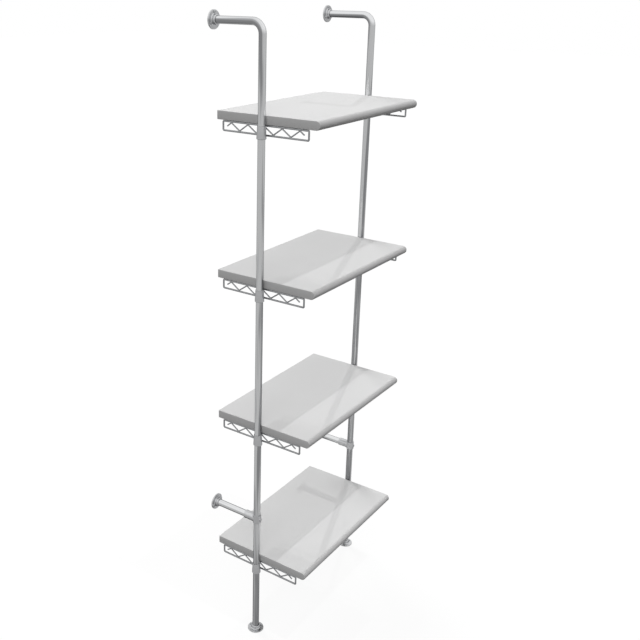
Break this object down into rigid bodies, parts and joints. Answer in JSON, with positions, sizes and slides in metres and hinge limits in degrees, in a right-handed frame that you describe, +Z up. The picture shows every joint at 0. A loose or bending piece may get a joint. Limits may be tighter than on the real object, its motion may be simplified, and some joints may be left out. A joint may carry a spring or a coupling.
{
  "type": "wall-fixed post shelving unit",
  "caption": "Wall-fixed shelving: bent chrome tube posts with flanged arms carry thick bullnose boards on welded wire truss brackets with tapered collars.",
  "frame": {"origin": "on the floor, at the middle of the overall footprint", "axes": "+X along the boards to the right seen from the front, +Y towards the wall, +Z up"},
  "size_m": [0.762, 0.408, 2.342],
  "materials": {
    "chrome_tube": "bright chrome plate on steel tube",
    "chrome_fitting": "bright chrome plate on cast fittings",
    "chrome_wire": "bright chrome plate on welded steel wire",
    "pale_laminate": "satin pale grey laminate over particle board",
    "sleeve_plastic": "moulded light grey plastic",
    "zinc_screw": "bright zinc plate"
  },
  "bodies": {
    "frame": {"left_post": "chrome_tube", "left_tee": "chrome_fitting", "left_tee_set_screw": "zinc_screw", "left_stay_arm": "chrome_tube", "left_floor_flange": "chrome_fitting", "left_floor_flange_screw_1": "zinc_screw", "left_floor_flange_screw_2": "zinc_screw", "left_floor_flange_screw_3": "zinc_screw", "upper_left_wall_flange": "chrome_fitting", "upper_left_wall_flange_screw_1": "zinc_screw", "upper_left_wall_flange_screw_2": "zinc_screw", "upper_left_wall_flange_screw_3": "zinc_screw", "lower_left_wall_flange": "chrome_fitting", "lower_left_wall_flange_screw_1": "zinc_screw", "lower_left_wall_flange_screw_2": "zinc_screw", "lower_left_wall_flange_screw_3": "zinc_screw", "right_post": "chrome_tube", "right_tee": "chrome_fitting", "right_tee_set_screw": "zinc_screw", "right_stay_arm": "chrome_tube", "right_floor_flange": "chrome_fitting", "right_floor_flange_screw_1": "zinc_screw", "right_floor_flange_screw_2": "zinc_screw", "right_floor_flange_screw_3": "zinc_screw", "upper_right_wall_flange": "chrome_fitting", "upper_right_wall_flange_screw_1": "zinc_screw", "upper_right_wall_flange_screw_2": "zinc_screw", "upper_right_wall_flange_screw_3": "zinc_screw", "lower_right_wall_flange": "chrome_fitting", "lower_right_wall_flange_screw_1": "zinc_screw", "lower_right_wall_flange_screw_2": "zinc_screw", "lower_right_wall_flange_screw_3": "zinc_screw", "shelf_1_left_sleeve": "sleeve_plastic", "shelf_1_right_sleeve": "sleeve_plastic", "shelf_2_left_sleeve": "sleeve_plastic", "shelf_2_right_sleeve": "sleeve_plastic", "shelf_3_left_sleeve": "sleeve_plastic", "shelf_3_right_sleeve": "sleeve_plastic", "shelf_4_left_sleeve": "sleeve_plastic", "shelf_4_right_sleeve": "sleeve_plastic"},
    "shelf_1": {"shelf_1_board": "pale_laminate", "shelf_1_left_bracket": "chrome_wire", "shelf_1_left_board_screw": "zinc_screw", "shelf_1_right_bracket": "chrome_wire", "shelf_1_right_board_screw": "zinc_screw"},
    "shelf_2": {"shelf_2_board": "pale_laminate", "shelf_2_left_bracket": "chrome_wire", "shelf_2_left_board_screw": "zinc_screw", "shelf_2_right_bracket": "chrome_wire", "shelf_2_right_board_screw": "zinc_screw"},
    "shelf_3": {"shelf_3_board": "pale_laminate", "shelf_3_left_bracket": "chrome_wire", "shelf_3_left_board_screw": "zinc_screw", "shelf_3_right_bracket": "chrome_wire", "shelf_3_right_board_screw": "zinc_screw"},
    "shelf_4": {"shelf_4_board": "pale_laminate", "shelf_4_left_bracket": "chrome_wire", "shelf_4_left_board_screw": "zinc_screw", "shelf_4_right_bracket": "chrome_wire", "shelf_4_right_board_screw": "zinc_screw"}
  },
  "joints": [
    {"name": "shelf_1_lift", "type": "slide", "parent": "frame", "child": "shelf_1", "axis": [0, 0, 1], "range_m": [0, 0.25]},
    {"name": "shelf_2_lift", "type": "slide", "parent": "frame", "child": "shelf_2", "axis": [0, 0, 1], "range_m": [0, 0.4]},
    {"name": "shelf_3_lift", "type": "slide", "parent": "frame", "child": "shelf_3", "axis": [0, 0, 1], "range_m": [0, 0.4]},
    {"name": "shelf_4_lift", "type": "slide", "parent": "frame", "child": "shelf_4", "axis": [0, 0, 1], "range_m": [0, 0.14]}
  ]
}
